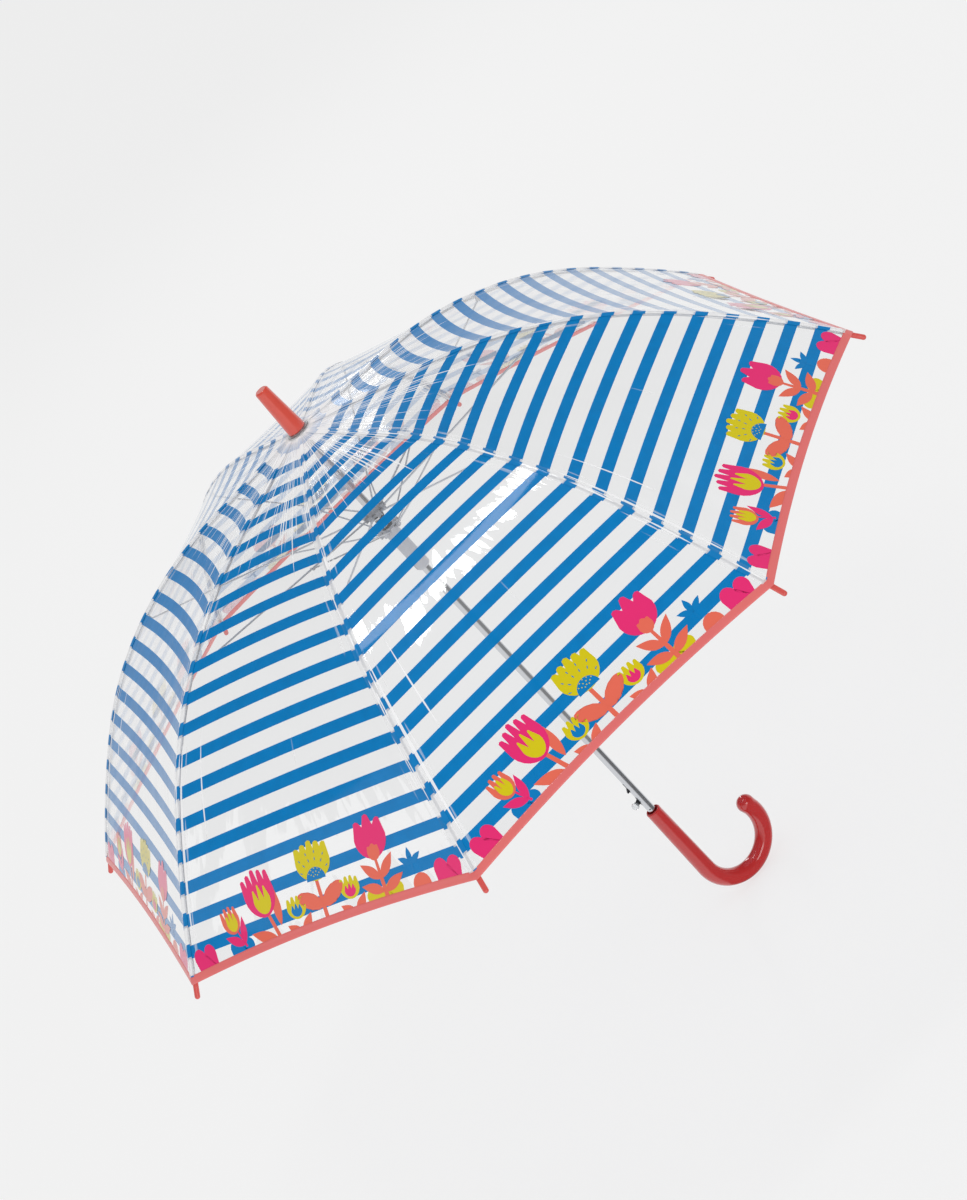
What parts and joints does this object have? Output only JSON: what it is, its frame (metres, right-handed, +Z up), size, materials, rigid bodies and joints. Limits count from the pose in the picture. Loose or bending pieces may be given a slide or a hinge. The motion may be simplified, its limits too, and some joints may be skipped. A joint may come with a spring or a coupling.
{
  "type": "umbrella",
  "caption": "Child's dome umbrella with a printed clear canopy on curved wire ribs, a straight tube shaft, a two-hub self-opening linkage, a press button and a crook handle.",
  "frame": {"origin": "on the shaft's axis, level with the lowest point of the crook handle", "axes": "+Z up the shaft to the ferrule; +X from the shaft towards the open end of the crook; +Y completes a right-handed frame"},
  "size_m": [0.842, 0.842, 0.6845],
  "materials": {
    "shaft": "bright chromed tube",
    "rib_wire": "bright plated steel wire",
    "steel_wire": "plain drawn wire",
    "dark_steel": "dark spring steel strip",
    "spring_steel": "dark coiled wire",
    "red_plastic": "smooth moulded, satin",
    "handle_plastic": "high gloss moulded",
    "coral_plastic": "smooth moulded",
    "clear_plastic": "clear polished moulding",
    "white_plastic": "plain moulded",
    "grey_plastic": "plain moulded, satin",
    "pale_plastic": "plain moulded, satin",
    "printed_film": "clear glossy film with printed bands and flowers"
  },
  "bodies": {
    "frame": {"shaft": "shaft", "ferrule_cap": "red_plastic", "crown_washer": "clear_plastic", "top_notch": "white_plastic", "top_notch_wire": "steel_wire", "top_notch_pin": "steel_wire", "handle": "handle_plastic", "release_lever_pin": "steel_wire"},
    "release": {"release_lever": "dark_steel", "release_button": "clear_plastic"},
    "runner": {"runner": "pale_plastic", "runner_wire": "steel_wire", "opening_spring": "spring_steel"},
    "spring_hub": {"spring_hub": "grey_plastic", "spring_hub_wire": "steel_wire"},
    "rib_1": {"rib_1": "rib_wire", "rib_tip_1": "coral_plastic", "canopy_panel_1": "printed_film"},
    "stretcher_1": {"stretcher_1": "rib_wire"},
    "strut_1": {"strut_1": "rib_wire"},
    "rib_2": {"rib_2": "rib_wire", "rib_tip_2": "coral_plastic", "canopy_panel_2": "printed_film"},
    "stretcher_2": {"stretcher_2": "rib_wire"},
    "strut_2": {"strut_2": "rib_wire"},
    "rib_3": {"rib_3": "rib_wire", "rib_tip_3": "coral_plastic", "canopy_panel_3": "printed_film"},
    "stretcher_3": {"stretcher_3": "rib_wire"},
    "strut_3": {"strut_3": "rib_wire"},
    "rib_4": {"rib_4": "rib_wire", "rib_tip_4": "coral_plastic", "canopy_panel_4": "printed_film"},
    "stretcher_4": {"stretcher_4": "rib_wire"},
    "strut_4": {"strut_4": "rib_wire"},
    "rib_5": {"rib_5": "rib_wire", "rib_tip_5": "coral_plastic", "canopy_panel_5": "printed_film"},
    "stretcher_5": {"stretcher_5": "rib_wire"},
    "strut_5": {"strut_5": "rib_wire"},
    "rib_6": {"rib_6": "rib_wire", "rib_tip_6": "coral_plastic", "canopy_panel_6": "printed_film"},
    "stretcher_6": {"stretcher_6": "rib_wire"},
    "strut_6": {"strut_6": "rib_wire"},
    "rib_7": {"rib_7": "rib_wire", "rib_tip_7": "coral_plastic", "canopy_panel_7": "printed_film"},
    "stretcher_7": {"stretcher_7": "rib_wire"},
    "strut_7": {"strut_7": "rib_wire"},
    "rib_8": {"rib_8": "rib_wire", "rib_tip_8": "coral_plastic", "canopy_panel_8": "printed_film"},
    "stretcher_8": {"stretcher_8": "rib_wire"},
    "strut_8": {"strut_8": "rib_wire"}
  },
  "joints": [
    {"name": "runner_slide", "type": "slide", "parent": "frame", "child": "runner", "axis": [0, 0, 1], "range_m": [-0.30618, 0], "stiffness_N_per_m": 100, "springref_m": 0.05, "deforming": ["opening_spring", "canopy_panel_1", "canopy_panel_2", "canopy_panel_3", "canopy_panel_4", "canopy_panel_5", "canopy_panel_6", "canopy_panel_7", "canopy_panel_8"]},
    {"name": "spring_hub_slide", "type": "slide", "parent": "frame", "child": "spring_hub", "axis": [0, 0, 1], "range_m": [-0.31979, 0]},
    {"name": "rib_1_hinge", "type": "hinge", "parent": "frame", "child": "rib_1", "pos_m": [0.00928, 0.00206, 0.6315], "axis": [-0.2164, 0.9763, 0], "range_deg": [0, 59.41]},
    {"name": "stretcher_1_pivot", "type": "hinge", "parent": "rib_1", "child": "stretcher_1", "pos_m": [0.21626, 0.04794, 0.57525], "axis": [-0.2164, 0.9763, 0], "range_deg": [-121.96, 0]},
    {"name": "strut_1_pivot", "type": "hinge", "parent": "stretcher_1", "child": "strut_1", "pos_m": [0.07868, 0.01949, 0.54669], "axis": [-0.2164, 0.9763, 0], "range_deg": [0, 13.25]},
    {"name": "rib_2_hinge", "type": "hinge", "parent": "frame", "child": "rib_2", "pos_m": [0.0051, 0.00801, 0.6315], "axis": [-0.8434, 0.5373, 0], "range_deg": [0, 59.41]},
    {"name": "stretcher_2_pivot", "type": "hinge", "parent": "rib_2", "child": "stretcher_2", "pos_m": [0.11902, 0.18682, 0.57525], "axis": [-0.8434, 0.5373, 0], "range_deg": [-121.96, 0]},
    {"name": "strut_2_pivot", "type": "hinge", "parent": "stretcher_2", "child": "strut_2", "pos_m": [0.04185, 0.06942, 0.54669], "axis": [-0.8434, 0.5373, 0], "range_deg": [0, 13.25]},
    {"name": "rib_3_hinge", "type": "hinge", "parent": "frame", "child": "rib_3", "pos_m": [-0.00206, 0.00928, 0.6315], "axis": [-0.9763, -0.2164, 0], "range_deg": [0, 59.41]},
    {"name": "stretcher_3_pivot", "type": "hinge", "parent": "rib_3", "child": "stretcher_3", "pos_m": [-0.04794, 0.21626, 0.57525], "axis": [-0.9763, -0.2164, 0], "range_deg": [-121.96, 0]},
    {"name": "strut_3_pivot", "type": "hinge", "parent": "stretcher_3", "child": "strut_3", "pos_m": [-0.01949, 0.07868, 0.54669], "axis": [-0.9763, -0.2164, 0], "range_deg": [0, 13.25]},
    {"name": "rib_4_hinge", "type": "hinge", "parent": "frame", "child": "rib_4", "pos_m": [-0.00801, 0.0051, 0.6315], "axis": [-0.5373, -0.8434, 0], "range_deg": [0, 59.41]},
    {"name": "stretcher_4_pivot", "type": "hinge", "parent": "rib_4", "child": "stretcher_4", "pos_m": [-0.18682, 0.11902, 0.57525], "axis": [-0.5373, -0.8434, 0], "range_deg": [-121.96, 0]},
    {"name": "strut_4_pivot", "type": "hinge", "parent": "stretcher_4", "child": "strut_4", "pos_m": [-0.06942, 0.04185, 0.54669], "axis": [-0.5373, -0.8434, 0], "range_deg": [0, 13.25]},
    {"name": "rib_5_hinge", "type": "hinge", "parent": "frame", "child": "rib_5", "pos_m": [-0.00928, -0.00206, 0.6315], "axis": [0.2164, -0.9763, 0], "range_deg": [0, 59.41]},
    {"name": "stretcher_5_pivot", "type": "hinge", "parent": "rib_5", "child": "stretcher_5", "pos_m": [-0.21626, -0.04794, 0.57525], "axis": [0.2164, -0.9763, 0], "range_deg": [-121.96, 0]},
    {"name": "strut_5_pivot", "type": "hinge", "parent": "stretcher_5", "child": "strut_5", "pos_m": [-0.07868, -0.01949, 0.54669], "axis": [0.2164, -0.9763, 0], "range_deg": [0, 13.25]},
    {"name": "rib_6_hinge", "type": "hinge", "parent": "frame", "child": "rib_6", "pos_m": [-0.0051, -0.00801, 0.6315], "axis": [0.8434, -0.5373, 0], "range_deg": [0, 59.41]},
    {"name": "stretcher_6_pivot", "type": "hinge", "parent": "rib_6", "child": "stretcher_6", "pos_m": [-0.11902, -0.18682, 0.57525], "axis": [0.8434, -0.5373, 0], "range_deg": [-121.96, 0]},
    {"name": "strut_6_pivot", "type": "hinge", "parent": "stretcher_6", "child": "strut_6", "pos_m": [-0.04185, -0.06942, 0.54669], "axis": [0.8434, -0.5373, 0], "range_deg": [0, 13.25]},
    {"name": "rib_7_hinge", "type": "hinge", "parent": "frame", "child": "rib_7", "pos_m": [0.00206, -0.00928, 0.6315], "axis": [0.9763, 0.2164, 0], "range_deg": [0, 59.41]},
    {"name": "stretcher_7_pivot", "type": "hinge", "parent": "rib_7", "child": "stretcher_7", "pos_m": [0.04794, -0.21626, 0.57525], "axis": [0.9763, 0.2164, 0], "range_deg": [-121.96, 0]},
    {"name": "strut_7_pivot", "type": "hinge", "parent": "stretcher_7", "child": "strut_7", "pos_m": [0.01949, -0.07868, 0.54669], "axis": [0.9763, 0.2164, 0], "range_deg": [0, 13.25]},
    {"name": "rib_8_hinge", "type": "hinge", "parent": "frame", "child": "rib_8", "pos_m": [0.00801, -0.0051, 0.6315], "axis": [0.5373, 0.8434, 0], "range_deg": [0, 59.41]},
    {"name": "stretcher_8_pivot", "type": "hinge", "parent": "rib_8", "child": "stretcher_8", "pos_m": [0.18682, -0.11902, 0.57525], "axis": [0.5373, 0.8434, 0], "range_deg": [-121.96, 0]},
    {"name": "strut_8_pivot", "type": "hinge", "parent": "stretcher_8", "child": "strut_8", "pos_m": [0.06942, -0.04185, 0.54669], "axis": [0.5373, 0.8434, 0], "range_deg": [0, 13.25]},
    {"name": "release_lever_hinge", "type": "hinge", "parent": "frame", "child": "release", "pos_m": [-0.0021, 0, 0.1325], "axis": [0, 1, 0], "range_deg": [0, 5.2], "stiffness_Nm_per_rad": 0.5, "springref_deg": -17.19}
  ],
  "couplings": [
    {"joint": "spring_hub_slide", "follows": "runner_slide", "ratio": 1.0444},
    {"joint": "rib_1_hinge", "follows": "runner_slide", "rad_per_m": -3.386},
    {"joint": "stretcher_1_pivot", "follows": "runner_slide", "rad_per_m": 6.9514},
    {"joint": "strut_1_pivot", "follows": "runner_slide", "rad_per_m": -0.75483},
    {"joint": "rib_2_hinge", "follows": "runner_slide", "rad_per_m": -3.386},
    {"joint": "stretcher_2_pivot", "follows": "runner_slide", "rad_per_m": 6.9514},
    {"joint": "strut_2_pivot", "follows": "runner_slide", "rad_per_m": -0.75483},
    {"joint": "rib_3_hinge", "follows": "runner_slide", "rad_per_m": -3.386},
    {"joint": "stretcher_3_pivot", "follows": "runner_slide", "rad_per_m": 6.9514},
    {"joint": "strut_3_pivot", "follows": "runner_slide", "rad_per_m": -0.75483},
    {"joint": "rib_4_hinge", "follows": "runner_slide", "rad_per_m": -3.386},
    {"joint": "stretcher_4_pivot", "follows": "runner_slide", "rad_per_m": 6.9514},
    {"joint": "strut_4_pivot", "follows": "runner_slide", "rad_per_m": -0.75483},
    {"joint": "rib_5_hinge", "follows": "runner_slide", "rad_per_m": -3.386},
    {"joint": "stretcher_5_pivot", "follows": "runner_slide", "rad_per_m": 6.9514},
    {"joint": "strut_5_pivot", "follows": "runner_slide", "rad_per_m": -0.75483},
    {"joint": "rib_6_hinge", "follows": "runner_slide", "rad_per_m": -3.386},
    {"joint": "stretcher_6_pivot", "follows": "runner_slide", "rad_per_m": 6.9514},
    {"joint": "strut_6_pivot", "follows": "runner_slide", "rad_per_m": -0.75483},
    {"joint": "rib_7_hinge", "follows": "runner_slide", "rad_per_m": -3.386},
    {"joint": "stretcher_7_pivot", "follows": "runner_slide", "rad_per_m": 6.9514},
    {"joint": "strut_7_pivot", "follows": "runner_slide", "rad_per_m": -0.75483},
    {"joint": "rib_8_hinge", "follows": "runner_slide", "rad_per_m": -3.386},
    {"joint": "stretcher_8_pivot", "follows": "runner_slide", "rad_per_m": 6.9514},
    {"joint": "strut_8_pivot", "follows": "runner_slide", "rad_per_m": -0.75483}
  ]
}
